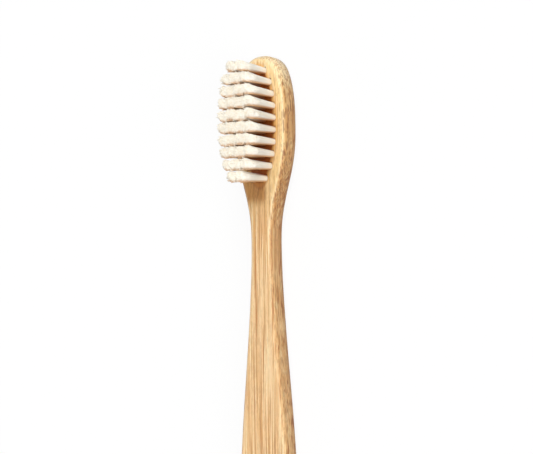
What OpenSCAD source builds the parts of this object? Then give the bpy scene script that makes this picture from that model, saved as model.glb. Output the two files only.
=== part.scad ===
// Manual toothbrush with a bamboo handle: one body cut from a flat board, blind holes
// drilled in its head, and a tuft of filaments folded over a metal anchor in each hole.
// The brush lies on its back: +X runs to the tip of the head, +Z out of the bristle face.

/* [Handle] */
// Length from the tip of the head to the end of the grip
brush_len = 190; // [175:1:210]
// Thickness of the bamboo board
board_t = 5.2; // [4.8:0.1:7]
// Radius rounded over every edge of the board
edge_r = 1; // [0.5:0.05:1.4]
// Widest part of the grip
grip_w = 13.2; // [11:0.1:16]
// Distance from the tip of the head to the widest part of the grip
grip_x = 108; // [90:1:130]
// Width of the grip where its round end begins
tail_w = 11.6; // [9:0.1:14]
// Length of the round end of the grip
tail_round = 7.5; // [5:0.1:9]
// Narrowest part of the neck
neck_w = 5.5; // [4.4:0.1:8]
// Distance from the tip of the head to the narrowest part of the neck
neck_x = 42; // [39:0.5:50]

/* [Head] */
// Widest part of the head
head_w = 13.3; // [12.4:0.1:16]
// Distance from the tip of the head to its widest part
head_x = 16; // [14:0.5:18]
// Fullness of the head's round end, where 2 is an ellipse
head_fullness = 2.5; // [2.2:0.1:3]

/* [Bristle field] */
// Rows of tufts along the head
row_count = 10; // [8:1:10]
// Distance from one row to the next
row_pitch = 2.6; // [2.4:0.05:2.7]
// Aimed distance between neighbouring tufts of a row
column_pitch = 2.4; // [2.3:0.05:2.7]
// Width over the centres of the outer tufts at the middle of the head
field_w = 7.2; // [6.9:0.1:7.6]
// Distance from the tip of the head to the first row
first_row_x = 4; // [3.6:0.1:4.6]

/* [Tufts] */
// Height of the trimmed bristles above the face of the head
bristle_h = 9.5; // [7:0.1:12]
// Diameter of a tuft hole
hole_d = 1.6; // [1.4:0.05:1.7]
// Depth of a tuft hole
hole_depth = 3.4; // [3:0.1:3.8]
// Free space between the spread tips of neighbouring tufts
tip_gap = 0.12; // [0.05:0.01:0.4]
// Strands in the outer ring of a tuft
ring_strands = 9; // [7:1:10]
// Strands in the core of a tuft
core_strands = 3; // [2:1:4]
// Height of the fused root that shows above the face
root_h = 0.3; // [0.15:0.05:0.6]
// Difference in height between the longest and the shortest strand
trim_step = 0.3; // [0.05:0.05:0.8]

/* [Anchors] */
// Width of a flat metal anchor, which bites into both walls of the hole
anchor_w = 2.1; // [1.95:0.05:2.3]
// Thickness of an anchor
anchor_t = 0.26; // [0.2:0.02:0.34]
// Height of an anchor
anchor_h = 1.5; // [1.2:0.1:1.8]
// Height of an anchor's lower edge above the floor of the hole
anchor_lift = 0.5; // [0.4:0.05:0.8]
// Turn of the anchors from the long axis of the brush, in degrees
anchor_turn = 35; // [20:1:50]

/* [Clearances] */
// Clearance between a tuft and the wall of its hole
tuft_clear = 0.03; // [0.02:0.01:0.05]
// Clearance round an anchor in its slot and in the folded tuft
anchor_clear = 0.02; // [0.02:0.01:0.04]

/* [Hidden] */
// Overrun of every cut past the surface that it opens
cut = 0.4;
// Depth by which a strand is rooted in the fused slice below it
strand_root = 0.15;
// Bevel round the fold at the bottom of a tuft
fold_bevel = 0.3;

// Fullness of the grip's round end and of the field's oval outline
tail_fullness = 2.3;
field_fullness = 2.2;
// How far the field's outline runs past its end rows, as a share of the row pitch
field_end_share = 0.25;
field_rows = (row_count - 1) / 2 + field_end_share;
// How early the grip starts to widen, where 1 is a plain cosine
grip_ease = 0.88;

// Points along each stretch of the outline, and steps round an edge
head_points = 16;
neck_points = 16;
grip_points = 18;
tail_points = 8;
end_points = 10;
edge_steps = 5;

// Width of a strand as a share of the room between its neighbours
strand_fill_share = 0.86;
// Distance of the strands in from the rim of the fused root
root_inset = 0.05;
// Turn of the strands from one row and one column to the next, in degrees
row_turn = 7;
column_turn = 31;

face_z = board_t;
root_r = hole_d / 2 - tuft_clear;

// Smooth step with level ends, from 0 to 1
function level_step(u) = u * u * u * (10 + u * (6 * u - 15));
// Cosine step, drawn towards its start by the ease
function eased_step(u, ease) = (1 - cos(180 * pow(u, ease))) / 2;
function blend(a, b, share) = a + (b - a) * share;

// Stretches of the outline, each a list of [distance from the tip, half width]
head_end = [for (i = [1:head_points])
    let (a = 90 * i / head_points)
    [head_x * (1 - pow(cos(a), 2 / head_fullness)), head_w / 2 * pow(sin(a), 2 / head_fullness)]];
neck_side = [for (i = [1:neck_points])
    let (u = i / neck_points)
    [blend(head_x, neck_x, u), blend(head_w, neck_w, level_step(u)) / 2]];
grip_side = [for (i = [1:grip_points])
    let (u = i / grip_points)
    [blend(neck_x, grip_x, u), blend(neck_w, grip_w, eased_step(u, grip_ease)) / 2]];
tail_side = [for (i = [1:tail_points])
    let (u = i / tail_points)
    [blend(grip_x, brush_len - tail_round, u), blend(grip_w, tail_w, 1 - cos(90 * u)) / 2]];
tail_end = [for (i = [1:end_points - 1])
    let (a = 90 * i / end_points)
    [brush_len - tail_round * (1 - pow(sin(a), 2 / tail_fullness)),
     tail_w / 2 * pow(cos(a), 2 / tail_fullness)]];
half_outline = concat(head_end, neck_side, grip_side, tail_side, tail_end);

// The whole outline seen from above, as a closed loop of points in the part's frame
function to_frame(p, side) = [brush_len / 2 - p[0], side * p[1]];
outline = concat(
    [to_frame([0, 0], 1)],
    [for (p = half_outline) to_frame(p, 1)],
    [to_frame([brush_len, 0], 1)],
    [for (i = [len(half_outline) - 1:-1:0]) to_frame(half_outline[i], -1)]);
outline_count = len(outline);

// Inward normal of the outline at a point, from its two neighbours
function inward(i) =
    let (before = outline[(i + outline_count - 1) % outline_count])
    let (after = outline[(i + 1) % outline_count])
    let (run = after - before)
    [-run[1], run[0]] / norm(run);
outline_normals = [for (i = [0:outline_count - 1]) inward(i)];

// Levels of the board's skin: [height, distance in from the outline]
lower_edge = [for (i = [0:edge_steps])
    let (a = 90 * i / edge_steps)
    [edge_r * (1 - sin(a)), edge_r * (1 - cos(a))]];
upper_edge = [for (level = lower_edge) [board_t - level[0], level[1]]];
levels = concat([for (i = [edge_steps:-1:0]) lower_edge[i]], upper_edge);
level_count = len(levels);

board_points = [for (level = levels) for (i = [0:outline_count - 1])
    let (p = outline[i] + outline_normals[i] * level[1])
    [p[0], p[1], level[0]]];

// The flat back and face are ladders of triangles between the two sides of the outline
half_count = len(half_outline);
function turned(a, b, c, up) = up ? [a, c, b] : [a, b, c];
function ladder(first, up) =
    let (last = first + outline_count)
    concat(
        [turned(first, first + 1, last - 1, up)],
        [for (i = [1:half_count - 1]) each [
            turned(first + i, first + i + 1, last - i, up),
            turned(last - i, first + i + 1, last - i - 1, up)]],
        [turned(first + half_count, first + half_count + 1, first + half_count + 2, up)]);
board_faces = concat(
    ladder(0, false),
    [for (k = [0:level_count - 2]) for (i = [0:outline_count - 1])
        let (j = (i + 1) % outline_count)
        let (low = k * outline_count)
        let (high = low + outline_count)
        each [[low + i, high + i, low + j], [low + j, high + i, high + j]]],
    ladder((level_count - 1) * outline_count, true));

// Places of the tufts: the outer tufts lie on a full oval, the others evenly between
function outer_y(row) =
    let (share = abs(row - (row_count - 1) / 2) / field_rows)
    field_w / 2 * pow(1 - pow(share, field_fullness), 1 / field_fullness);
function tufts_in(row) = max(2, round(2 * outer_y(row) / column_pitch) + 1);
function tuft_spacing(row) = 2 * outer_y(row) / (tufts_in(row) - 1);
function tuft_place(row, column) = [
    brush_len / 2 - first_row_x - row * row_pitch,
    tuft_spacing(row) * column - outer_y(row)];
function tuft_name(row, column) = str("tuft_r", row < 9 ? "0" : "", row + 1, "_c", column + 1);
rows = [0:row_count - 1];

// The spread tips of a tuft fill the narrowest spacing but for the gap
tip_r = (min([for (row = rows) min(tuft_spacing(row), row_pitch)]) - tip_gap) / 2;

// Strands stand in circles: the radius of their centres and half their width, for a circle
// whose outer corners reach the given radius, and the reach that is left inside the circle
function ring_radius(reach, count) = reach / (1 + sin(180 / count) * strand_fill_share);
function strand_half(reach, count) = reach - ring_radius(reach, count);
function core_reach(reach) =
    strand_fill_share * (ring_radius(reach, ring_strands) - strand_half(reach, ring_strands));

// A strand is a tapered prism of four sides between two centres
function strand_ring(centre, half_w, turn) = [for (k = [0:3])
    centre + half_w * [cos(turn + 90 * k), sin(turn + 90 * k), 0]];
strand_faces = [
    [0, 1, 2], [0, 2, 3], [4, 6, 5], [4, 7, 6],
    [0, 4, 1], [1, 4, 5], [1, 5, 2], [2, 5, 6],
    [2, 6, 3], [3, 6, 7], [3, 7, 0], [0, 7, 4]];

// One bamboo board, rounded over, with a blind hole and an anchor slot for each tuft
module handle() {
    color([0.87, 0.70, 0.47])
    difference() {
        polyhedron(points = board_points, faces = board_faces);
        for (row = rows, column = [0:tufts_in(row) - 1])
            at_tuft(row, column) {
                tuft_hole();
                anchor_slot();
            }
    }
}

module at_tuft(row, column) {
    place = tuft_place(row, column);
    translate([place[0], place[1], face_z - hole_depth]) children();
}

module tuft_hole() {
    cylinder(h = hole_depth + cut, d = hole_d, $fn = 48);
}

// The slot that the anchor leaves in the bamboo as it is driven in from the face
module anchor_slot() {
    rotate([0, 0, -anchor_turn])
    translate([-anchor_w / 2 - anchor_clear, -anchor_t / 2 - anchor_clear, anchor_lift])
    cube([anchor_w + 2 * anchor_clear, anchor_t + 2 * anchor_clear, hole_depth - anchor_lift + cut]);
}

module anchor() {
    rotate([0, 0, -anchor_turn])
    translate([-anchor_w / 2, -anchor_t / 2, anchor_lift])
    cube([anchor_w, anchor_t, anchor_h]);
}

module anchors() {
    color([0.80, 0.66, 0.36])
    for (row = rows, column = [0:tufts_in(row) - 1]) at_tuft(row, column) anchor();
}

// The folded half of a tuft, which fills its hole round the anchor
module tuft_fold() {
    difference() {
        union() {
            cylinder(h = fold_bevel, r1 = root_r - fold_bevel, r2 = root_r, $fn = 48);
            translate([0, 0, fold_bevel])
            cylinder(h = hole_depth + root_h - fold_bevel, r = root_r, $fn = 48);
        }
        rotate([0, 0, -anchor_turn])
        translate([-hole_d, -anchor_t / 2 - anchor_clear, anchor_lift - anchor_clear])
        cube([2 * hole_d, anchor_t + 2 * anchor_clear, anchor_h + 2 * anchor_clear]);
    }
}

// A circle of strands that spread from the fused root to the trimmed tips
module strand_circle(count, root_reach, tip_reach, phase) {
    low = hole_depth + root_h - strand_root;
    for (k = [0:count - 1]) {
        turn = phase + 360 * k / count;
        way = [cos(turn), sin(turn), 0];
        top = hole_depth + bristle_h - trim_step * (1 + sin(3 * turn + 5 * phase)) / 2;
        polyhedron(
            points = concat(
                strand_ring(ring_radius(root_reach, count) * way + [0, 0, low],
                    strand_half(root_reach, count), turn),
                strand_ring(ring_radius(tip_reach, count) * way + [0, 0, top],
                    strand_half(tip_reach, count), turn)),
            faces = strand_faces);
    }
}

module tuft(row, column) {
    phase = row_turn * row + column_turn * column;
    color([0.96, 0.93, 0.86])
    at_tuft(row, column) {
        tuft_fold();
        strand_circle(ring_strands, root_r - root_inset, tip_r, phase);
        strand_circle(core_strands, core_reach(root_r - root_inset), core_reach(tip_r), 2 * phase);
    }
}

handle();
for (row = rows, column = [0:tufts_in(row) - 1])
    tuft(row, column);
anchors();
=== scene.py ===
import math
import random

import bmesh
import bpy
from mathutils import Matrix, Vector, noise


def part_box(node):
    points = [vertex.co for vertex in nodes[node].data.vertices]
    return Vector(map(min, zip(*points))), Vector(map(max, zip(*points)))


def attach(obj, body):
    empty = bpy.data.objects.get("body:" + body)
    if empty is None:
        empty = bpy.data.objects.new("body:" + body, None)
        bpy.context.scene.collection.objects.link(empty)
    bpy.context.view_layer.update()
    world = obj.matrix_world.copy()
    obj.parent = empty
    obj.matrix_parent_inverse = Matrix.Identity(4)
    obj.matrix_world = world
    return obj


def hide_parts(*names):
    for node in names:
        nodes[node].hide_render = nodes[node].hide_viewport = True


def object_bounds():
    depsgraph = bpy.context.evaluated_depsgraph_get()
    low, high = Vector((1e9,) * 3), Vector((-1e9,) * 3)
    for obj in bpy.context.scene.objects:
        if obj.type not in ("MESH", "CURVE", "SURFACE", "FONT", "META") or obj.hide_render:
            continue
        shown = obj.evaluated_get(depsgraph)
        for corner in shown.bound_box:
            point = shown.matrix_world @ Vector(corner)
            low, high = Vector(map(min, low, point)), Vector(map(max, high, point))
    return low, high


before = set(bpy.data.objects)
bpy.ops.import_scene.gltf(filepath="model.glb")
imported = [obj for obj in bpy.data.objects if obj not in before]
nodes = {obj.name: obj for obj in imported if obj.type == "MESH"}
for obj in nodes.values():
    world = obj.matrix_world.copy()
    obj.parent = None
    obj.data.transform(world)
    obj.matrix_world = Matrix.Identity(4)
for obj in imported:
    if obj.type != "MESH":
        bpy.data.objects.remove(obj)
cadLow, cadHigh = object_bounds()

mm = 0.001
samePlace = 1e-6  # points of the solids closer than this count as level, m
scene = bpy.context.scene
random.seed(34)

# Camera

cameraSet = {
    "aim": (57.0, 0.0, 2.6),  # point of the brush at the middle of the picture, mm
    "tilt": 33.0,  # angle between the bristles and the line of sight, degrees
    "distance": 188.0,  # mm
    "roll": 0.615,  # degrees
    "lens": 57.4,  # mm
    "sensor": 36.0,  # its width, mm
    "nearest": 0.01,  # nothing nearer or farther than these is drawn, m
    "farthest": 5.0,
}


def placeCamera():
    tilt = math.radians(cameraSet["tilt"])
    roll = math.radians(cameraSet["roll"])
    back = Vector((0, -math.sin(tilt), math.cos(tilt)))
    level = Vector((0, -math.cos(tilt), -math.sin(tilt)))
    along = Vector((1, 0, 0))
    right = level * math.cos(roll) - along * math.sin(roll)
    up = along * math.cos(roll) + level * math.sin(roll)
    spot = (Vector(cameraSet["aim"]) + back * cameraSet["distance"]) * mm
    data = bpy.data.cameras.new("camera")
    data.lens = cameraSet["lens"]
    data.sensor_width = cameraSet["sensor"]
    data.clip_start = cameraSet["nearest"]
    data.clip_end = cameraSet["farthest"]
    camera = bpy.data.objects.new("camera", data)
    camera.matrix_world = Matrix.Translation(spot) @ Matrix((right, up, back)).transposed().to_4x4()
    scene.collection.objects.link(camera)
    scene.camera = camera


placeCamera()
print("camera placed")

# Small helpers for materials and meshes


def newMaterial(name):
    material = bpy.data.materials.new(name)
    material.use_nodes = True
    tree = material.node_tree
    tree.nodes.clear()
    return material, tree


def addNode(tree, kind, inputs=None, **settings):
    node = tree.nodes.new(kind)
    for name, value in settings.items():
        setattr(node, name, value)
    for name, value in (inputs or {}).items():
        if isinstance(value, bpy.types.NodeSocket):
            tree.links.new(value, node.inputs[name])
        else:
            node.inputs[name].default_value = value
    return node


def mathNode(tree, operation, a, b=0.0):
    return addNode(tree, "ShaderNodeMath", {0: a, 1: b}, operation=operation).outputs[0]


def product(tree, first, *others):
    for value in others:
        first = mathNode(tree, "MULTIPLY", first, value)
    return first


def opposite(tree, share):
    return mathNode(tree, "SUBTRACT", 1.0, share)


def vectorNode(tree, operation, a, b):
    return addNode(tree, "ShaderNodeVectorMath", {0: a, 1: b}, operation=operation).outputs[0]


def vectorLength(tree, vector):
    return addNode(tree, "ShaderNodeVectorMath", {0: vector}, operation="LENGTH").outputs["Value"]


def axisOf(tree, vector, axis):
    return addNode(tree, "ShaderNodeSeparateXYZ", {0: vector}).outputs[axis]


def stretched(tree, place, size):
    # place in cells of the given size in mm along X, Y and Z
    return vectorNode(tree, "MULTIPLY", place, [1 / (mm * side) for side in size])


def noiseAt(tree, place, size, detail=2.0, roughness=0.5, output="Fac"):
    made = addNode(tree, "ShaderNodeTexNoise",
                   {"Vector": stretched(tree, place, size), "Scale": 1.0, "Detail": detail,
                    "Roughness": roughness})
    return made.outputs[output]


def remap(tree, value, low, high, newLow=0.0, newHigh=1.0, smooth=True):
    # from newLow at low to newHigh at high, and level beyond them
    kind = "SMOOTHSTEP" if smooth else "LINEAR"
    made = addNode(tree, "ShaderNodeMapRange",
                   {"Value": value, "From Min": low, "From Max": high,
                    "To Min": newLow, "To Max": newHigh},
                   interpolation_type=kind)
    return made.outputs["Result"]


def remapPlace(tree, place, span, origin=0.0):
    # the same for a place in m: a span gives low and high in mm from the origin, then the new values
    return remap(tree, place, origin + span[0] * mm, origin + span[1] * mm, *span[2:])


def mixColour(tree, share, a, b, blend="MIX"):
    # among the sockets of this node, 6 and 7 are the colours, and output 2 their mix
    return addNode(tree, "ShaderNodeMix", {0: share, 6: a, 7: b},
                   data_type="RGBA", blend_type=blend).outputs[2]


def colour(red, green, blue):
    # a colour read as 0 to 255 screen values, turned to scene values
    def toScene(level):
        level = level / 255
        return level / 12.92 if level <= 0.04045 else ((level + 0.055) / 1.055) ** 2.4
    return (toScene(red), toScene(green), toScene(blue), 1.0)


def tinted(tree, skin, share, tint, blend="MIX"):
    return mixColour(tree, share, skin, colour(*tint), blend)


def bumpFrom(tree, height, strength, relief):
    # relief in mm
    return addNode(tree, "ShaderNodeBump",
                   {"Strength": strength, "Distance": relief * mm, "Height": height}).outputs[0]


def finishMaterial(tree, shader):
    output = addNode(tree, "ShaderNodeOutputMaterial")
    tree.links.new(shader.outputs[0], output.inputs["Surface"])


def addPiece(name, mesh, material, slot, *replaced):
    piece = bpy.data.objects.new(name, mesh)
    scene.collection.objects.link(piece)
    mesh.materials.clear()
    mesh.materials.append(material)
    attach(piece, "root")
    if replaced:
        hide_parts(*replaced)
    return piece


# Where the tufts stand

fieldSet = {
    "endReach": 0.65,  # how far the field reaches past the middles of its end tufts, mm
    "leastShare": 0.05,  # keeps the very middle of the field from dividing by nothing
}


def tuftPlace(node):
    # middle of the tuft's foot on the floor of its hole
    vertices = nodes[node].data.vertices
    low = min(v.co.z for v in vertices)
    foot = [v.co for v in vertices if v.co.z < low + samePlace]
    return Vector(((min(p.x for p in foot) + max(p.x for p in foot)) / 2,
                   (min(p.y for p in foot) + max(p.y for p in foot)) / 2, low))


tuftNames = sorted(name for name in nodes if name.startswith("tuft_"))
tuftPlaces = {name: tuftPlace(name) for name in tuftNames}
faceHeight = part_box("handle")[1].z
fieldEnds = (min(p.x for p in tuftPlaces.values()), max(p.x for p in tuftPlaces.values()))
fieldMiddle = sum(fieldEnds) / 2
fieldHalfLength = (fieldEnds[1] - fieldEnds[0]) / 2 + fieldSet["endReach"] * mm
fieldHalfWidth = max(p.y for p in tuftPlaces.values())
rowLines = sorted({round(p.x, 6) for p in tuftPlaces.values()})
rowPitch = rowLines[1] - rowLines[0]


def outOfField(tree, spot):
    # distance from an oval through the outermost tufts, in m, negative inside the bristle field
    flat = vectorNode(tree, "MULTIPLY", spot, (1, 1, 0))
    apart = vectorNode(tree, "SUBTRACT", flat, (fieldMiddle, 0, 0))
    scaled = vectorNode(tree, "MULTIPLY", apart, (1 / fieldHalfLength, 1 / fieldHalfWidth, 0))
    share = mathNode(tree, "MAXIMUM", vectorLength(tree, scaled), fieldSet["leastShare"])
    inverse = mathNode(tree, "DIVIDE", 1.0, share)
    return product(tree, vectorLength(tree, apart), opposite(tree, inverse))


# Bamboo

bamboo = {
    # colours, as 0 to 255 screen values
    "colourPalest": (255, 238, 194),  # at the tip of the head, in the pale lines, and as the painted highlight along the edges of the face
    "colourBandHighlight": (255, 222, 160),  # painted highlight on the face of the head, between the tufts and the edge
    "colourPale": (250, 217, 170),
    "colourBody": (233, 192, 139),
    "colourDeep": (214, 158, 94),
    "colourLine": (176, 112, 52),
    "colourBundle": (176, 116, 60),
    "colourPore": (122, 62, 16),
    "colourWarmBounce": (244, 188, 106),  # painted warm bounced light on the face, close round the tufts
    # these are multiplied with what lies under them
    # the sides' own darker tone together with painted shade
    "tintSideToneAndShade": (233, 216, 188),
    "tintRimShade": (212, 204, 204),  # painted shade low on the sides
    "tintFaceShade": (190, 128, 66),  # painted shade on the face, between the tufts
    "tintShade": (210, 180, 140),  # on the neck, beside the last tufts
    # patterns, with the size of their cells along X, Y and Z in mm
    "drift": {"size": (28, 9, 9), "detail": 1.0},  # how the fibres waver
    "waver": 0.5,  # and how far, mm
    "tone": {"size": (70, 2.4, 2.4)},  # broad bands of tone
    "streak": {"size": (34, 0.34, 0.6), "detail": 3, "roughness": 0.6},  # they show most on the face
    "line": {"size": (24, 0.2, 0.34), "detail": 1},  # thin dark and pale lines
    "mottle": {"size": (1.3, 0.3, 0.3), "roughness": 0.6},
    "crowd": {"size": (9, 3, 2.2), "detail": 1},  # where the marks stand close
    "bundles": {"size": (24, 0.8, 1.1), "reach": 0.3, "chance": 0.35},  # dark bundles of vessels
    "dashes": {"size": (2.3, 0.32, 0.5), "reach": 0.55, "chance": 0.5},  # round dots on the ends
    "specks": {"size": (1.0, 0.28, 0.42), "reach": 0.5, "chance": 0.45},  # finer ones between them
    "markEdge": 0.65,  # a mark is full within this share of its reach
    "markChoice": 0.08,  # and how gradually cells are picked for marks
    # shares: the level of the pattern where a share starts and ends, then the share at both
    "toneLevels": (0.3, 0.7),
    "toneShare": (0.1, 0.5),
    "darkStreaks": (0.5, 0.68, 0, 0.8),
    "paleStreaks": (0.47, 0.32, 0, 0.85),
    "darkLines": (0.56, 0.66, 0, 0.9),
    "paleLines": (0.43, 0.31, 0, 0.85),
    "edgeHighlightStreaks": (0.6, 0.42, 0.05, 0.6),  # the painted edge highlight's share, over the level of the streaks
    "crowdLevels": (0.32, 0.52, 0.4, 1),
    "mottleLevels": (0.3, 0.7, 0, 0.2),
    "sideNormal": (0.92, 0.7),  # the upward part of the surface's direction where a side begins
    "edgeHighlightNormal": (0.995, 0.95),  # and where the painted highlight on the edge does
    "marksOnSide": (0, 0.5, 0.42, 0.75),  # over the share of side
    "neckShare": 0.55,  # of the deep colour
    "sideToneAndShadeOnGrip": 0.75,
    "bundleShare": 0.5,
    "speckShare": 0.7,
    "marksOnGrip": 0.45,
    # places: where a share starts and ends in mm, then the share at both if not 0 and 1
    "neckStart": (42, 54),  # along the brush
    "neckEnd": (76, 64),
    "paleTip": (80, 92),
    "headStart": (56, 68),
    "sideToneAndShadeAlong": (93, 85),
    "edgeHighlightAlong": (42, 56, 0.4, 1),
    "marksAlong": (93, 85, 0.3, 1),
    "rimShadeHeight": (2.6, 0.8),  # up from the back
    "faceDepth": (-1.2, -0.3),  # up from the face
    "bandHighlightReach": (1.3, 2.1, 0, 0.75),  # out from the tufts
    "warmBounceReach": (1.7, 0.8, 0, 0.75),
    "faceShadeReach": (0.7, -0.3),
    "shadeStart": (-6.8, -3.8),  # along, from the last row of tufts
    "shadeEnd": (2, 0),
    "shadeAcross": (-2.0, -0.8),
    # surface
    "roughness": (0.3, 0.7, 0.37, 0.52),  # over the level of the streaks
    "relief": 0.03,  # mm
    "reliefStrength": 0.6,
    "reliefStreaks": 0.8,  # how much of the relief the streaks and lines raise, and the marks sink
    "reliefLines": 0.25,
    "reliefMarks": 0.6,
    "refraction": 1.48,
    "lightInside": 0.12,  # share of the light that spreads inside the wood
    "lightReach": (1.0, 0.45, 0.2),  # and how far its red, green and blue go, mm
}


def cellMarks(tree, place, size, reach, chance):
    # long spots in a share of the cells of a given size
    cells = addNode(tree, "ShaderNodeTexVoronoi",
                    {"Vector": stretched(tree, place, size), "Scale": 1.0, "Randomness": 1.0})
    picked = addNode(tree, "ShaderNodeSeparateColor", {0: cells.outputs["Color"]}).outputs[1]
    return product(tree, remap(tree, cells.outputs["Distance"], reach, reach * bamboo["markEdge"]),
                   remap(tree, picked, 1 - chance, 1 + bamboo["markChoice"] - chance))


def makeBamboo():
    material, tree = newMaterial("sanded bamboo")
    spot = addNode(tree, "ShaderNodeTexCoord")
    raw = spot.outputs["Object"]
    # fibres waver a little across the board
    drift = noiseAt(tree, raw, **bamboo["drift"], output="Color")
    centred = vectorNode(tree, "SUBTRACT", drift, (0.5, 0.5, 0.5))
    waver = bamboo["waver"] * mm
    place = vectorNode(tree, "ADD", raw, vectorNode(tree, "MULTIPLY", centred, (0, waver, waver)))
    along = axisOf(tree, place, "X")
    across = axisOf(tree, raw, "Y")
    height = axisOf(tree, raw, "Z")

    tone = remap(tree, noiseAt(tree, place, **bamboo["tone"]), *bamboo["toneLevels"])
    streak = noiseAt(tree, place, **bamboo["streak"])
    line = noiseAt(tree, place, **bamboo["line"])
    mottle = noiseAt(tree, place, **bamboo["mottle"])
    skin = mixColour(tree, remap(tree, tone, 0, 1, *bamboo["toneShare"]),
                     colour(*bamboo["colourBody"]), colour(*bamboo["colourPale"]))
    neck = product(tree, remapPlace(tree, along, bamboo["neckStart"]),
                   remapPlace(tree, along, bamboo["neckEnd"]), bamboo["neckShare"])
    skin = tinted(tree, skin, neck, bamboo["colourDeep"])
    skin = tinted(tree, skin, remapPlace(tree, along, bamboo["paleTip"]), bamboo["colourPalest"])
    skin = tinted(tree, skin, remap(tree, streak, *bamboo["darkStreaks"]), bamboo["colourDeep"])
    skin = tinted(tree, skin, remap(tree, streak, *bamboo["paleStreaks"]), bamboo["colourPale"])
    skin = tinted(tree, skin, remap(tree, line, *bamboo["darkLines"]), bamboo["colourLine"])
    skin = tinted(tree, skin, remap(tree, line, *bamboo["paleLines"]), bamboo["colourPalest"])

    # the sides are darker, partly in their own tone and partly as painted shade, and painted shade
    # darkens them most low down
    upward = mathNode(tree, "ABSOLUTE", axisOf(tree, spot.outputs["Normal"], "Z"))
    onSide = remap(tree, upward, *bamboo["sideNormal"])
    offSide = opposite(tree, onSide)
    inHead = remapPlace(tree, along, bamboo["headStart"])
    tint = product(tree, remapPlace(tree, along, bamboo["sideToneAndShadeAlong"]),
                   remap(tree, inHead, 0, 1, bamboo["sideToneAndShadeOnGrip"], 1, smooth=False))
    skin = tinted(tree, skin, product(tree, onSide, tint), bamboo["tintSideToneAndShade"], "MULTIPLY")
    # painted shade, deepest low on the sides
    low = product(tree, onSide, remapPlace(tree, height, bamboo["rimShadeHeight"]))
    skin = tinted(tree, skin, low, bamboo["tintRimShade"], "MULTIPLY")

    # painted highlights: the face is paler between the tufts and the edge, and paler still where it
    # rounds over the edge
    out = outOfField(tree, raw)
    bandHighlight = product(tree, remapPlace(tree, out, bamboo["bandHighlightReach"]), inHead, offSide)
    skin = tinted(tree, skin, bandHighlight, bamboo["colourBandHighlight"])
    edge = product(tree, remap(tree, upward, *bamboo["edgeHighlightNormal"]), offSide,
                   remap(tree, streak, *bamboo["edgeHighlightStreaks"]),
                   remapPlace(tree, along, bamboo["edgeHighlightAlong"]))
    skin = tinted(tree, skin, edge, bamboo["colourPalest"])

    # the sides cut across more of the vessels than the face does
    bundles = cellMarks(tree, place, **bamboo["bundles"])
    skin = tinted(tree, skin, product(tree, bundles, bamboo["bundleShare"]), bamboo["colourBundle"])
    dashes = cellMarks(tree, place, **bamboo["dashes"])
    specks = cellMarks(tree, place, **bamboo["specks"])
    marks = mathNode(tree, "MAXIMUM", dashes, product(tree, specks, bamboo["speckShare"]))
    crowd = remap(tree, noiseAt(tree, place, **bamboo["crowd"]), *bamboo["crowdLevels"])
    shown = product(tree, remap(tree, onSide, *bamboo["marksOnSide"]), crowd,
                    remap(tree, inHead, 0, 1, bamboo["marksOnGrip"], 1, smooth=False),
                    remapPlace(tree, along, bamboo["marksAlong"]))
    skin = tinted(tree, skin, product(tree, marks, shown), bamboo["colourPore"])
    skin = tinted(tree, skin, remap(tree, mottle, *bamboo["mottleLevels"]), bamboo["colourDeep"])

    # painted warm bounced light on the face close round the tufts, painted shade between them, and a
    # painted shadow on the neck beside the last ones
    onFace = remapPlace(tree, height, bamboo["faceDepth"], faceHeight)
    glow = product(tree, onFace, remapPlace(tree, out, bamboo["warmBounceReach"]))
    skin = tinted(tree, skin, glow, bamboo["colourWarmBounce"])
    faceShade = product(tree, onFace, remapPlace(tree, out, bamboo["faceShadeReach"]))
    skin = tinted(tree, skin, faceShade, bamboo["tintFaceShade"], "MULTIPLY")
    shade = product(tree, remapPlace(tree, along, bamboo["shadeStart"], fieldEnds[0]),
                    remapPlace(tree, along, bamboo["shadeEnd"], fieldEnds[0]),
                    remapPlace(tree, across, bamboo["shadeAcross"]), onFace)
    skin = tinted(tree, skin, shade, bamboo["tintShade"], "MULTIPLY")

    rise = mathNode(tree, "SUBTRACT", product(tree, streak, bamboo["reliefStreaks"]),
                    product(tree, marks, bamboo["reliefMarks"]))
    rise = mathNode(tree, "ADD", rise, product(tree, line, bamboo["reliefLines"]))
    rough = remap(tree, streak, *bamboo["roughness"], smooth=False)
    shader = addNode(tree, "ShaderNodeBsdfPrincipled",
                     {"Base Color": skin, "Roughness": rough,
                      "Normal": bumpFrom(tree, rise, bamboo["reliefStrength"], bamboo["relief"]),
                      "IOR": bamboo["refraction"], "Subsurface Weight": bamboo["lightInside"],
                      "Subsurface Radius": bamboo["lightReach"], "Subsurface Scale": mm})
    finishMaterial(tree, shader)
    return material


# The handle: a fine skin over the same outline as the solid, with the same holes

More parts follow.
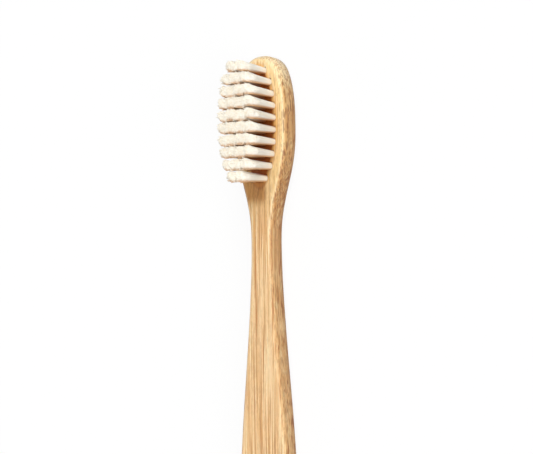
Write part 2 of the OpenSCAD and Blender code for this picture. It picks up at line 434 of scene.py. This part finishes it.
handle = {
    "edgeRadius": 1.0,  # mm, as on the solid
    "tipEdgeRadius": 2.0,  # over the face's edge at the tip of the head, which is sanded rounder, mm
    "tipEdgeEasing": (9.0, 1.0),  # it starts and is full at these distances from the tip, mm
    "tipTrim": 0.35,  # the visible head is shorter than the solid by this, mm
    "tipTrimEasing": 3.0,  # over this length, mm
    "rowSpacing": 0.35,  # mm between rings of the skin
    "curveSteps": 6,  # steps of the smooth outline in one such space
    "edgeSteps": 7,
    "sideSteps": 12,
    "faceSteps": 44,
    "joined": 0.002,  # points of the skin closer than this become one, mm
    "sharpFrom": 38.0,  # edges turning more than this stay sharp, degrees
    "holeRadius": 0.8,  # mm
    "holeDepth": 3.4,  # mm
    "holeSides": 40,
    "rim": 0.04,  # bevel round each hole's mouth, mm
    "slotLength": 2.14,  # the slots that the anchors leave, mm
    "slotWidth": 0.3,  # mm
    "slotTurn": -35.0,  # degrees from the length of the brush
    "slotFloor": 0.5,  # mm above the floor of the hole
    "cutAbove": 0.3,  # the cutting shapes go on above the face by this, mm
    "grain": 0.02,  # height of the raised grain, mm
    "ridgeSize": (22, 1.1, 1.1),  # mm
    "fineRidgeSize": (11, 0.38, 0.38),  # mm
    "fineRidgeShift": 7,  # takes the fine ridges from another part of the noise
    "fineRidgeShare": 0.3,
}


def outlineOfSolid():
    # one side of the solid's outline, from the tip of the head to the end of the grip
    level = handle["edgeRadius"] * mm
    found = {(round(v.co.x, 7), round(v.co.y, 7)) for v in nodes["handle"].data.vertices
             if abs(v.co.z - level) < samePlace and v.co.y > -samePlace}
    return [Vector(point) for point in sorted(found, key=lambda point: (-point[0], point[1]))]


def smoothLine(points, spacing):
    # an even run of points on a smooth curve through the given ones
    mirrored = [Vector((points[1].x, -points[1].y))] + points + [Vector((points[-2].x, -points[-2].y))]
    fine = []
    for a, b, c, d in zip(mirrored, mirrored[1:], mirrored[2:], mirrored[3:]):
        steps = max(2, math.ceil((c - b).length / spacing * handle["curveSteps"]))
        for k in range(steps):
            t = k / steps
            fine.append(0.5 * (2 * b + (c - a) * t + (2 * a - 5 * b + 4 * c - d) * t * t
                               + (3 * b - a - 3 * c + d) * t ** 3))
    fine.append(points[-1])
    lengths = [0.0]
    for p, q in zip(fine, fine[1:]):
        lengths.append(lengths[-1] + (q - p).length)
    count = round(lengths[-1] / spacing)
    line, at = [], 0
    for k in range(count + 1):
        goal = lengths[-1] * k / count
        while at < len(fine) - 2 and lengths[at + 1] < goal:
            at += 1
        share = (goal - lengths[at]) / (lengths[at + 1] - lengths[at])
        line.append(fine[at].lerp(fine[at + 1], min(1, share)))
    return line


def easedStep(value, start, end):
    share = min(1.0, max(0.0, (value - start) / (end - start)))
    return share * share * (3 - 2 * share)


def profileLevels(thickness, x):
    # height and distance in from the outline, from the back's flat to the face's flat
    radius = handle["edgeRadius"] * mm
    start, end = handle["tipEdgeEasing"]
    tip = easedStep(x, cadHigh.x - start * mm, cadHigh.x - end * mm)
    faceRadius = radius + (handle["tipEdgeRadius"] - handle["edgeRadius"]) * mm * tip
    steps = handle["edgeSteps"]
    turn = [math.pi / 2 * k / steps for k in range(steps + 1)]
    low = [(radius * (1 - math.sin(a)), radius * (1 - math.cos(a))) for a in reversed(turn)]
    high = [(thickness - faceRadius * (1 - math.sin(a)), faceRadius * (1 - math.cos(a))) for a in turn]
    side = [(radius + (thickness - radius - faceRadius) * k / handle["sideSteps"], 0.0)
            for k in range(1, handle["sideSteps"])]
    return low + side + high


def grainHeight(place):
    # raised grain: long ridges with finer ones on them
    x, y, z = place / mm
    a, b, c = handle["ridgeSize"]
    broad = noise.noise(Vector((x / a, y / b, z / c)))
    a, b, c = handle["fineRidgeSize"]
    fine = noise.noise(Vector((x / a + handle["fineRidgeShift"], y / b, z / c)))
    return handle["grain"] * mm * (broad + handle["fineRidgeShare"] * fine)


def makeHandleMesh():
    thickness = faceHeight
    line = smoothLine(outlineOfSolid(), handle["rowSpacing"] * mm)
    for point in line:
        eased = easedStep(point.x, cadHigh.x - handle["tipTrimEasing"] * mm, cadHigh.x)
        point.x -= handle["tipTrim"] * mm * eased
    last = len(line) - 1
    across = handle["faceSteps"]
    mesh = bmesh.new()
    rings = []
    for i, point in enumerate(line):
        before = line[i - 1] if i > 0 else Vector((line[1].x, -line[1].y))
        after = line[i + 1] if i < last else Vector((line[-2].x, -line[-2].y))
        run = (after - before).normalized()
        inward = Vector((-run.y, run.x))  # the outline runs towards -X, with the board on its left
        side = [(point + inward * inset, z) for z, inset in profileLevels(thickness, point.x)]
        up = [(p.x, p.y, z) for p, z in side]
        down = [(p.x, -p.y, z) for p, z in reversed(side)]
        faceEnd, backEnd = side[-1][0], side[0][0]
        face = [(faceEnd.x, faceEnd.y * (1 - 2 * k / across), thickness) for k in range(1, across)]
        back = [(backEnd.x, -backEnd.y * (1 - 2 * k / across), 0.0) for k in range(1, across)]
        rings.append([mesh.verts.new(place) for place in up + face + down + back])
    for ring, after in zip(rings, rings[1:]):
        for k in range(len(ring)):
            m = (k + 1) % len(ring)
            mesh.faces.new((ring[k], after[k], after[m], ring[m]))
    # the first and last rings are flat slits: their two sides meet
    bmesh.ops.remove_doubles(mesh, verts=mesh.verts, dist=handle["joined"] * mm)
    bmesh.ops.recalc_face_normals(mesh, faces=mesh.faces)
    mesh.normal_update()
    for vertex in mesh.verts:
        vertex.co += vertex.normal * grainHeight(vertex.co)
    data = bpy.data.meshes.new("handle")
    mesh.to_mesh(data)
    mesh.free()
    return data


def makeCutter(name, build):
    mesh = bmesh.new()
    for place in tuftPlaces.values():
        build(mesh, place)
    data = bpy.data.meshes.new(name)
    mesh.to_mesh(data)
    mesh.free()
    cutter = bpy.data.objects.new(name, data)
    scene.collection.objects.link(cutter)
    return cutter


def buildHole(mesh, place):
    # a drilled hole whose mouth opens in a small bevel
    radius, rim, depth = handle["holeRadius"] * mm, handle["rim"] * mm, handle["holeDepth"] * mm
    above = handle["cutAbove"] * mm
    sides = handle["holeSides"]
    profile = [(0.0, radius), (depth - rim, radius), (depth, radius + rim),
               (depth + above, radius + rim + above)]
    rings = []
    for z, r in profile:
        rings.append([mesh.verts.new(place + Vector((r * math.cos(2 * math.pi * k / sides),
                                                     r * math.sin(2 * math.pi * k / sides), z)))
                      for k in range(sides)])
    for low, high in zip(rings, rings[1:]):
        for k in range(sides):
            m = (k + 1) % sides
            mesh.faces.new((low[k], low[m], high[m], high[k]))
    mesh.faces.new(list(reversed(rings[0])))
    mesh.faces.new(rings[-1])


def buildSlot(mesh, place):
    tall = handle["holeDepth"] - handle["slotFloor"] + handle["cutAbove"]
    size = Vector((handle["slotLength"], handle["slotWidth"], tall)) * mm
    middle = place + Vector((0, 0, handle["slotFloor"] * mm + size.z / 2))
    turn = Matrix.Rotation(math.radians(handle["slotTurn"]), 4, "Z")
    bmesh.ops.create_cube(mesh, size=1.0,
                          matrix=Matrix.Translation(middle) @ turn @ Matrix.Diagonal(size).to_4x4())


def makeHandle(material):
    piece = addPiece("bamboo_handle", makeHandleMesh(), material, "bamboo", "handle")
    for name, build in (("tuft holes", buildHole), ("anchor slots", buildSlot)):
        cutter = makeCutter(name, build)
        cut = piece.modifiers.new(name, "BOOLEAN")
        cut.operation = "DIFFERENCE"
        cut.solver = "EXACT"
        cut.object = cutter
        bpy.context.view_layer.update()
        graph = bpy.context.evaluated_depsgraph_get()
        shaped = bpy.data.meshes.new_from_object(piece.evaluated_get(graph))
        piece.modifiers.clear()
        piece.data = shaped
        bpy.data.objects.remove(cutter)
    piece.data.name = "bamboo_handle"
    piece.data.materials.clear()
    piece.data.materials.append(material)
    piece.data.shade_smooth()
    piece.data.set_sharp_from_angle(angle=math.radians(handle["sharpFrom"]))
    print("handle:", len(piece.data.polygons), "faces")


makeHandle(makeBamboo())

# Bristles

bristles = {
    # one filament
    "rootRadius": 0.075,  # mm
    "tipRadius": 0.105,  # mm
    "sides": 6,
    "roundedTip": ((0.72, 0.45), (0.3, 0.8)),  # width and rise of its rings, in tip radii
    "tipAllowance": 0.8,  # the last ring stands this many tip radii below the end
    "sunk": 1.0,  # how far down in the hole the outermost ones start, mm
    "innerStart": 2.4,  # how far below the tips the hidden inner ones start, mm
    "outerSteps": 9,  # points along an outermost one
    "innerSteps": 3,
    # how a tuft fills its place; a side is free where no tuft stands beside it
    "inLine": 0.1,  # tufts less apart than this along the brush stand in one row, mm
    "rings": (1, 6, 12, 19, 26, 33),  # filament ends in each ring of a tuft, from its middle out
    "outermost": 0.99,  # share of the way out from which a filament counts as outermost
    "rootSpread": 0.7,  # mm, to the middle of the outermost filaments
    "rowGap": 0.04,  # mm between the tips of two rows
    "mingling": 0.2,  # how far a tuft's tips reach past the middle between it and the next, mm
    "freeReach": 1.12,  # mm
    "corners": 2.8,  # how squarely the tips fill their places, 2 for round
    "freeCorners": 2.1,
    "flare": 0.1,  # share of a tuft's opening along the brush that comes only near its tips
    "freeFlare": 0.6,  # the same for the outer tufts
    "flarePower": 6,  # how near
    "skew": 0.03,  # mm, how far the tips fan out along one diagonal
    "freeSkew": 0.18,  # the same for the outer tufts
    "skewPower": 3,
    "opening": 1.3,  # how late it opens across the brush, 1 for evenly
    "lobes": 0.05,  # how far a tuft's outline strays from even, mm
    "lobeCounts": (2, 3, 5),
    "cornerOnes": 2,  # extra ends towards each corner of a tuft's place
    "cornerReach": (0.08, 0.28),  # mm
    "cornerSpread": 18,  # degrees to either side
    # the trim
    "drop": 0.12,  # how much lower some tufts end, mm
    "dome": 0.45,  # how much lower the ends are at a tuft's rim, along the brush, mm
    "domePower": 2.4,
    "freeDome": {-1: 2.2, 1: 0.5},  # and across it on a free side, towards -Y and towards +Y, mm
    "freeDomePower": 1.5,
    "ripple": 0.22,  # broad unevenness, mm
    "rippleLevel": 3.7,  # where in the noise it is taken from
    "uneven": 0.2,  # how much lower than its place in the trim a filament may end, mm
    "freeUneven": 0.5,  # mm more, towards a free side
    "freeUnevenFrom": 0.7,  # beyond this share of the way out
    "unevenPower": 1.6,
    # how they stray
    "lean": 0.08,  # how far a whole tuft leans along the brush, either way, mm at the tips
    "leanAcross": 0.22,  # and across it, all of them the same way
    "stray": 0.06,  # how far the tips lie from their even places, mm
    "splay": 0.4,  # how far the few loose ones lean out, mm
    "leastSplay": 0.3,  # share of that
    "splayPower": 3,
    "looseShare": 0.06,
    "freeLooseShare": 0.2,
    "freeSlant": 0.5,  # a filament faces a free side where the sine of its angle is above this
    # the packed middle
    "packing": 0.05,  # it lies this far inside the outer filaments' middles, mm
    "packedSides": 48,
    "packedSteps": 12,
    "packedCrown": (0.92, 0.8, 0.6, 0.35, 0.12),  # widths of the rings that close its top
    "packedBelow": 0.26,  # it ends this far below the tips, mm
    # colours, as 0 to 255 screen values
    "colourBright": (255, 251, 241),
    "colourBody": (255, 250, 238),
    "colourDark": (246, 230, 200),  # a few of them
    "colourShade": (251, 240, 218),
    "colourStreak": (242, 229, 205),
    "colourPacked": (254, 242, 220),
    "colourUndersideShade": (224, 174, 120),  # painted shade on a tuft's side towards the grip
    "colourFootShade": (238, 208, 164),  # painted warm shade where they leave the wood
    "colourDeep": (166, 90, 32),  # painted shade low between the tufts
    # patterns, with the size of their cells along X, Y and Z in mm
    "cloud": {"size": (0.6, 0.6, 3.0)},
    "streak": {"size": (0.24, 0.24, 5.0), "detail": 1},
    "dents": {"size": (0.12, 0.12, 0.9)},
    "packedLine": {"size": (0.16, 0.16, 2.5)},
    # shares: where a share starts and ends, then the share at both if not 0 and 1
    "brightOnes": (0, 0.7),  # over a number drawn for each filament
    "darkOnes": (0.78, 0.86, 0, 0.4),
    "cloudLevels": (0.45, 0.75, 0, 0.45),
    "streakLevels": (0.52, 0.68, 0, 0.35),
    "packedLevels": (0.35, 0.65),
    "undersideShadeOffset": (-0.45, -1.0),  # from a tuft's middle to its side towards the grip
    "footShadeHeight": (2.6, 0, 0, 0.18),  # mm above the face
    "lowShadeHeight": (7.0, 0),
    "lowShadeReach": (0.9, 0.1, 0, 0.9),  # mm out from the outermost tufts
    "undersideShadeHeight": (-0.5, -2.5, 0.75, 1),  # mm up from the tips
    # surface
    "roughness": (0, 1, 0.38, 0.52),  # over the number drawn for each filament
    "relief": 0.01,  # mm
    "reliefStrength": 0.3,
    "packedRoughness": 0.6,
    "packedRelief": 0.02,  # mm
    "packedReliefStrength": 0.6,
    "refraction": 1.5,
}


def paintTuftShade(tree, place, skin):
    # painted shade: warmer at the foot of every tuft and on its side towards the grip, and darker low
    # between them
    height = axisOf(tree, place, "Z")
    skin = tinted(tree, skin, remapPlace(tree, height, bristles["footShadeHeight"], faceHeight),
                  bristles["colourFootShade"])
    # painted shade on each tuft's side towards the grip
    offset = addNode(tree, "ShaderNodeAttribute", attribute_name="offset").outputs["Fac"]
    under = product(tree, remap(tree, offset, *bristles["undersideShadeOffset"]),
                    remapPlace(tree, height, bristles["undersideShadeHeight"], cadHigh.z))
    skin = tinted(tree, skin, under, bristles["colourUndersideShade"])
    deep = product(tree, remapPlace(tree, height, bristles["lowShadeHeight"], faceHeight),
                   remapPlace(tree, outOfField(tree, place), bristles["lowShadeReach"]))
    return tinted(tree, skin, deep, bristles["colourDeep"])


def makeBristleMaterial():
    material, tree = newMaterial("bristle filament")
    island = addNode(tree, "ShaderNodeNewGeometry").outputs["Random Per Island"]
    place = addNode(tree, "ShaderNodeTexCoord").outputs["Object"]
    cloud = noiseAt(tree, place, **bristles["cloud"])
    streak = noiseAt(tree, place, **bristles["streak"])
    skin = mixColour(tree, remap(tree, island, *bristles["brightOnes"]),
                     colour(*bristles["colourBody"]), colour(*bristles["colourBright"]))
    skin = tinted(tree, skin, remap(tree, island, *bristles["darkOnes"]), bristles["colourDark"])
    skin = tinted(tree, skin, remap(tree, cloud, *bristles["cloudLevels"]), bristles["colourShade"])
    skin = tinted(tree, skin, remap(tree, streak, *bristles["streakLevels"]), bristles["colourStreak"])
    skin = paintTuftShade(tree, place, skin)
    bump = bumpFrom(tree, noiseAt(tree, place, **bristles["dents"]), bristles["reliefStrength"],
                    bristles["relief"])
    shader = addNode(tree, "ShaderNodeBsdfPrincipled",
                     {"Base Color": skin, "Normal": bump, "IOR": bristles["refraction"],
                      "Roughness": remap(tree, island, *bristles["roughness"], smooth=False)})
    finishMaterial(tree, shader)
    return material


def makePackedMaterial():
    # the filaments seen deep between the outer ones
    material, tree = newMaterial("packed filaments")
    place = addNode(tree, "ShaderNodeTexCoord").outputs["Object"]
    line = noiseAt(tree, place, **bristles["packedLine"])
    skin = mixColour(tree, remap(tree, line, *bristles["packedLevels"]),
                     colour(*bristles["colourPacked"]), colour(*bristles["colourShade"]))
    skin = paintTuftShade(tree, place, skin)
    bump = bumpFrom(tree, line, bristles["packedReliefStrength"], bristles["packedRelief"])
    shader = addNode(tree, "ShaderNodeBsdfPrincipled",
                     {"Base Color": skin, "Normal": bump, "IOR": bristles["refraction"],
                      "Roughness": bristles["packedRoughness"]})
    finishMaterial(tree, shader)
    return material


def skinRings(mesh, rings, index):
    # a closed tube: a face over each end and faces between the rings
    faces = [mesh.faces.new(rings[-1]), mesh.faces.new(list(reversed(rings[0])))]
    for low, high in zip(rings, rings[1:]):
        for k in range(len(low)):
            m = (k + 1) % len(low)
            faces.append(mesh.faces.new((low[k], low[m], high[m], high[k])))
    for face in faces:
        face.material_index = index


def addFilament(mesh, points, radii, offset):
    # a round thread along the points, closed with a rounded tip
    sides = bristles["sides"]
    rings = []
    for i, point in enumerate(points):
        before = points[max(0, i - 1)]
        after = points[min(len(points) - 1, i + 1)]
        along = (after - before).normalized()
        across = along.cross(Vector((0, 1, 0))).normalized()
        other = along.cross(across)
        rings.append([mesh.verts.new(point + radii[i] * (across * math.cos(2 * math.pi * k / sides)
                                                         + other * math.sin(2 * math.pi * k / sides)))
                      for k in range(sides)])
    ending = (points[-1] - points[-2]).normalized()
    body = rings[-1]
    for share, rise in bristles["roundedTip"]:
        rings.append([mesh.verts.new(points[-1].lerp(v.co, share) + ending * radii[-1] * rise)
                      for v in body])
    layer = mesh.verts.layers.float["offset"]
    for vertex in (v for ring in rings for v in ring):
        vertex[layer] = offset
    skinRings(mesh, rings, 0)


def sideOf(angle):
    return 1 if math.sin(angle) > 0 else -1


def makeTuft(node, materials):
    base = tuftPlaces[node]
    tipHeight = cadHigh.z
    rings = bristles["rings"]
    # half the space that the tips have along the brush and on either side across it
    thin = bristles["tipRadius"] * mm
    roomAlong = (rowPitch - bristles["rowGap"] * mm) / 2 - thin
    apart = bristles["inLine"] * mm
    row = [p.y - base.y for p in tuftPlaces.values() if abs(p.x - base.x) < apart]
    roomAcross, free = {}, {}
    for side in (-1, 1):
        others = [side * y for y in row if side * y > apart]
        free[side] = not others
        if others:
            roomAcross[side] = min(others) / 2 + bristles["mingling"] * mm - thin
        else:
            roomAcross[side] = bristles["freeReach"] * mm
    lean = Vector((random.gauss(0, 1) * bristles["lean"], bristles["leanAcross"])) * mm
    crown = tipHeight - random.random() ** 2 * bristles["drop"] * mm
    lobes = [(n, random.uniform(0, 2 * math.pi)) for n in bristles["lobeCounts"]]
    outer = free[-1] or free[1]
    flare = bristles["freeFlare" if outer else "flare"]
    skew = bristles["freeSkew" if outer else "skew"] * mm

    def rise(z):
        return max(0.0, (z - faceHeight) / (tipHeight - faceHeight))

    def reachAt(angle, z):
        # filaments meet those of the next tufts in their row, and stay rounder towards a free side
        side = sideOf(angle)
        up = rise(z)
        root = bristles["rootSpread"] * mm
        opened = (1 - flare) * up + flare * up ** bristles["flarePower"]
        along = root + (roomAlong - root) * opened
        across = root + (roomAcross[side] - root) * up ** bristles["opening"]
        power = 2 + (bristles["freeCorners" if free[side] else "corners"] - 2) * up
        reach = (abs(math.cos(angle) / along) ** power
                 + abs(math.sin(angle) / across) ** power) ** (-1 / power)
        reach += skew * math.sin(2 * angle) * up ** bristles["skewPower"]
        waves = sum(math.cos(n * angle + phase) for n, phase in lobes) / 2
        return reach + waves * bristles["lobes"] * mm * up

    def topAt(angle, share):
        # a rounded crown along the brush, and across it towards a free side
        fall = bristles["dome"] * abs(share * math.cos(angle)) ** bristles["domePower"]
        side = sideOf(angle)
        if free[side]:
            slant = abs(share * math.sin(angle)) ** bristles["freeDomePower"]
            fall += bristles["freeDome"][side] * slant
        ripple = noise.noise((base.x / mm + share * math.cos(angle),
                              base.y / mm + share * math.sin(angle), bristles["rippleLevel"]))
        return crown - (fall + bristles["ripple"] * (1 + ripple)) * mm

    def placeAt(angle, out, z):
        middle = base.xy + lean * rise(z)
        return Vector((middle.x + out * math.cos(angle), middle.y + out * math.sin(angle), z))

    mesh = bmesh.new()
    layer = mesh.verts.layers.float.new("offset")  # where in the tuft, from -1 towards the grip to 1
    ends = []  # share of the way out, angle and extra reach of each filament
    for number, count in enumerate(rings):
        turn = random.uniform(0, 2 * math.pi)
        ends += [(number / (len(rings) - 1), turn + 2 * math.pi * k / count, 0.0) for k in range(count)]
    spread = bristles["cornerSpread"]
    for corner in range(4):
        for k in range(bristles["cornerOnes"]):
            angle = math.radians(45 + 90 * corner + random.uniform(-spread, spread))
            if not free[sideOf(angle)]:
                ends.append((1.0, angle, random.uniform(*bristles["cornerReach"]) * mm))
    outerStart = faceHeight - bristles["sunk"] * mm
    for share, angle, splay in ends:
        outermost = share > bristles["outermost"]
        beyond = free[sideOf(angle)] and abs(math.sin(angle)) > bristles["freeSlant"]
        stray = Vector((random.gauss(0, 1), random.gauss(0, 1), 0)) * bristles["stray"] * mm
        if outermost and random.random() < bristles["freeLooseShare" if beyond else "looseShare"]:
            splay = random.uniform(bristles["leastSplay"], 1) * bristles["splay"] * mm
        uneven = bristles["uneven"]
        if beyond and share > bristles["freeUnevenFrom"]:
            uneven += bristles["freeUneven"]
        lower = random.random() ** bristles["unevenPower"] * uneven
        top = topAt(angle, share) - (bristles["tipRadius"] * bristles["tipAllowance"] + lower) * mm
        start = outerStart if outermost else tipHeight - bristles["innerStart"] * mm
        steps = bristles["outerSteps" if outermost else "innerSteps"]
        points, radii = [], []
        for step in range(steps):
            z = start + (top - start) * step / (steps - 1)
            out = share * reachAt(angle, z) + splay * rise(z) ** bristles["splayPower"]
            points.append(placeAt(angle, out, z) + stray * rise(z))
            radius = bristles["rootRadius"] * (1 - rise(z)) + bristles["tipRadius"] * rise(z)
            radii.append(radius * mm)
        addFilament(mesh, points, radii, share * math.cos(angle))
    # the packed middle, under its own crown
    packed = bristles["packing"] * mm
    steps = bristles["packedSteps"]
    turns = [2 * math.pi * k / bristles["packedSides"] for k in range(bristles["packedSides"])]
    middle = []
    for share in (1.0,) * (steps + 1) + bristles["packedCrown"]:
        ring = []
        for angle in turns:
            edge = topAt(angle, share) - bristles["packedBelow"] * mm
            z = outerStart + (edge - outerStart) * min(1, len(middle) / steps)
            ring.append(mesh.verts.new(placeAt(angle, share * (reachAt(angle, z) - packed), z)))
            ring[-1][layer] = share * math.cos(angle)
        middle.append(ring)
    skinRings(mesh, middle, 1)
    bmesh.ops.recalc_face_normals(mesh, faces=mesh.faces)
    name = node.replace("tuft", "bristles")
    data = bpy.data.meshes.new(name)
    mesh.to_mesh(data)
    mesh.free()
    data.shade_smooth()
    addPiece(name, data, materials[0], "bristle", node)
    data.materials.append(materials[1])


bristleMaterials = (makeBristleMaterial(), makePackedMaterial())
for tuftName in tuftNames:
    makeTuft(tuftName, bristleMaterials)
print("bristles:", len(tuftNames), "tufts")

# Anchors

anchorSet = {
    "metal": (214, 178, 112),  # colours, as 0 to 255 screen values
    "tarnish": (150, 112, 58),
    "tarnishing": {"size": (0.3, 0.3, 0.5), "detail": 3},  # size of the cells, mm
    "tarnishLevels": (0.45, 0.7),
    "rolling": {"size": (0.05, 0.05, 0.8)},
    "roughness": (0.28, 0.5),  # of the clean and of the tarnished metal
    "relief": 0.005,  # mm
    "reliefStrength": 0.3,
}


def finishAnchors():
    material, tree = newMaterial("rolled brass")
    place = addNode(tree, "ShaderNodeTexCoord").outputs["Object"]
    dull = remap(tree, noiseAt(tree, place, **anchorSet["tarnishing"]), *anchorSet["tarnishLevels"])
    skin = mixColour(tree, dull, colour(*anchorSet["metal"]), colour(*anchorSet["tarnish"]))
    bump = bumpFrom(tree, noiseAt(tree, place, **anchorSet["rolling"]), anchorSet["reliefStrength"],
                    anchorSet["relief"])
    shader = addNode(tree, "ShaderNodeBsdfPrincipled",
                     {"Base Color": skin, "Metallic": 1.0, "Normal": bump,
                      "Roughness": remap(tree, dull, 0, 1, *anchorSet["roughness"], smooth=False)})
    finishMaterial(tree, shader)
    nodes["anchors"].data.materials.clear()
    nodes["anchors"].data.materials.append(material)


finishAnchors()
print("anchors finished")

# Floor, world and light

studio = {
    "floorSize": 3.0,  # m
    "floorGap": 0.02,  # it lies this far below the brush, mm
    "floorColour": 0.14,  # grey, for the light that it throws back
    "floorGlow": 0.9,  # share of the plain white in what the camera sees of the floor
    "sky": 0.35,
    "keyFrom": (0.62, -0.2, 0.76),
    "keyStrength": 1.75,
    "keySoftness": 45.0,  # degrees
    "fillFrom": (-0.25, -0.89, 0.38),
    "fillStrength": 1.72,
    "fillSoftness": 60.0,
    "backFrom": (-0.3, 0.95, 0.12),
    "backStrength": 0.9,
    "backSoftness": 60.0,
}


def seenBy(tree, *kinds):
    # 1 for these kinds of ray and 0 for the others
    rays = addNode(tree, "ShaderNodeLightPath")
    seen = rays.outputs[kinds[0]]
    for kind in kinds[1:]:
        seen = mathNode(tree, "MAXIMUM", seen, rays.outputs[kind])
    return seen


def makeFloor():
    material, tree = newMaterial("pale floor")
    seen = seenBy(tree, "Is Camera Ray", "Is Glossy Ray")
    grey = studio["floorColour"]
    dull = addNode(tree, "ShaderNodeBsdfDiffuse", {"Color": (grey, grey, grey, 1)})
    white = addNode(tree, "ShaderNodeBsdfDiffuse", {"Color": (1, 1, 1, 1)})
    glow = addNode(tree, "ShaderNodeEmission", {"Color": (1, 1, 1, 1), "Strength": 1.0})
    shown = addNode(tree, "ShaderNodeMixShader",
                    {0: studio["floorGlow"], 1: white.outputs[0], 2: glow.outputs[0]})
    both = addNode(tree, "ShaderNodeMixShader", {0: seen, 1: dull.outputs[0], 2: shown.outputs[0]})
    finishMaterial(tree, both)
    half = studio["floorSize"] / 2
    data = bpy.data.meshes.new("floor")
    corners = [(-half, -half, 0), (half, -half, 0), (half, half, 0), (-half, half, 0)]
    data.from_pydata(corners, [], [(0, 1, 2, 3)])
    data.materials.append(material)
    floor = bpy.data.objects.new("floor", data)
    floor.location.z = cadLow.z - studio["floorGap"] * mm
    scene.collection.objects.link(floor)


def makeWorld():
    world = bpy.data.worlds.new("studio")
    scene.world = world
    world.use_nodes = True
    tree = world.node_tree
    tree.nodes.clear()
    seen = seenBy(tree, "Is Camera Ray", "Is Glossy Ray", "Is Transmission Ray")
    strength = remap(tree, seen, 0, 1, studio["sky"], 1.0, smooth=False)
    sky = addNode(tree, "ShaderNodeBackground", {"Color": (1, 1, 1, 1), "Strength": strength})
    output = addNode(tree, "ShaderNodeOutputWorld")
    tree.links.new(sky.outputs[0], output.inputs["Surface"])


def makeLamp(name):
    data = bpy.data.lights.new(name + " light", "SUN")
    data.energy = studio[name + "Strength"]
    data.angle = math.radians(studio[name + "Softness"])
    lamp = bpy.data.objects.new(name + " light", data)
    lamp.rotation_mode = "QUATERNION"
    lamp.rotation_quaternion = Vector(studio[name + "From"]).to_track_quat("Z", "Y")
    scene.collection.objects.link(lamp)


makeFloor()
makeWorld()
makeLamp("key")
makeLamp("fill")
makeLamp("back")
scene.view_settings.view_transform = "Standard"
print("floor, world and light made")
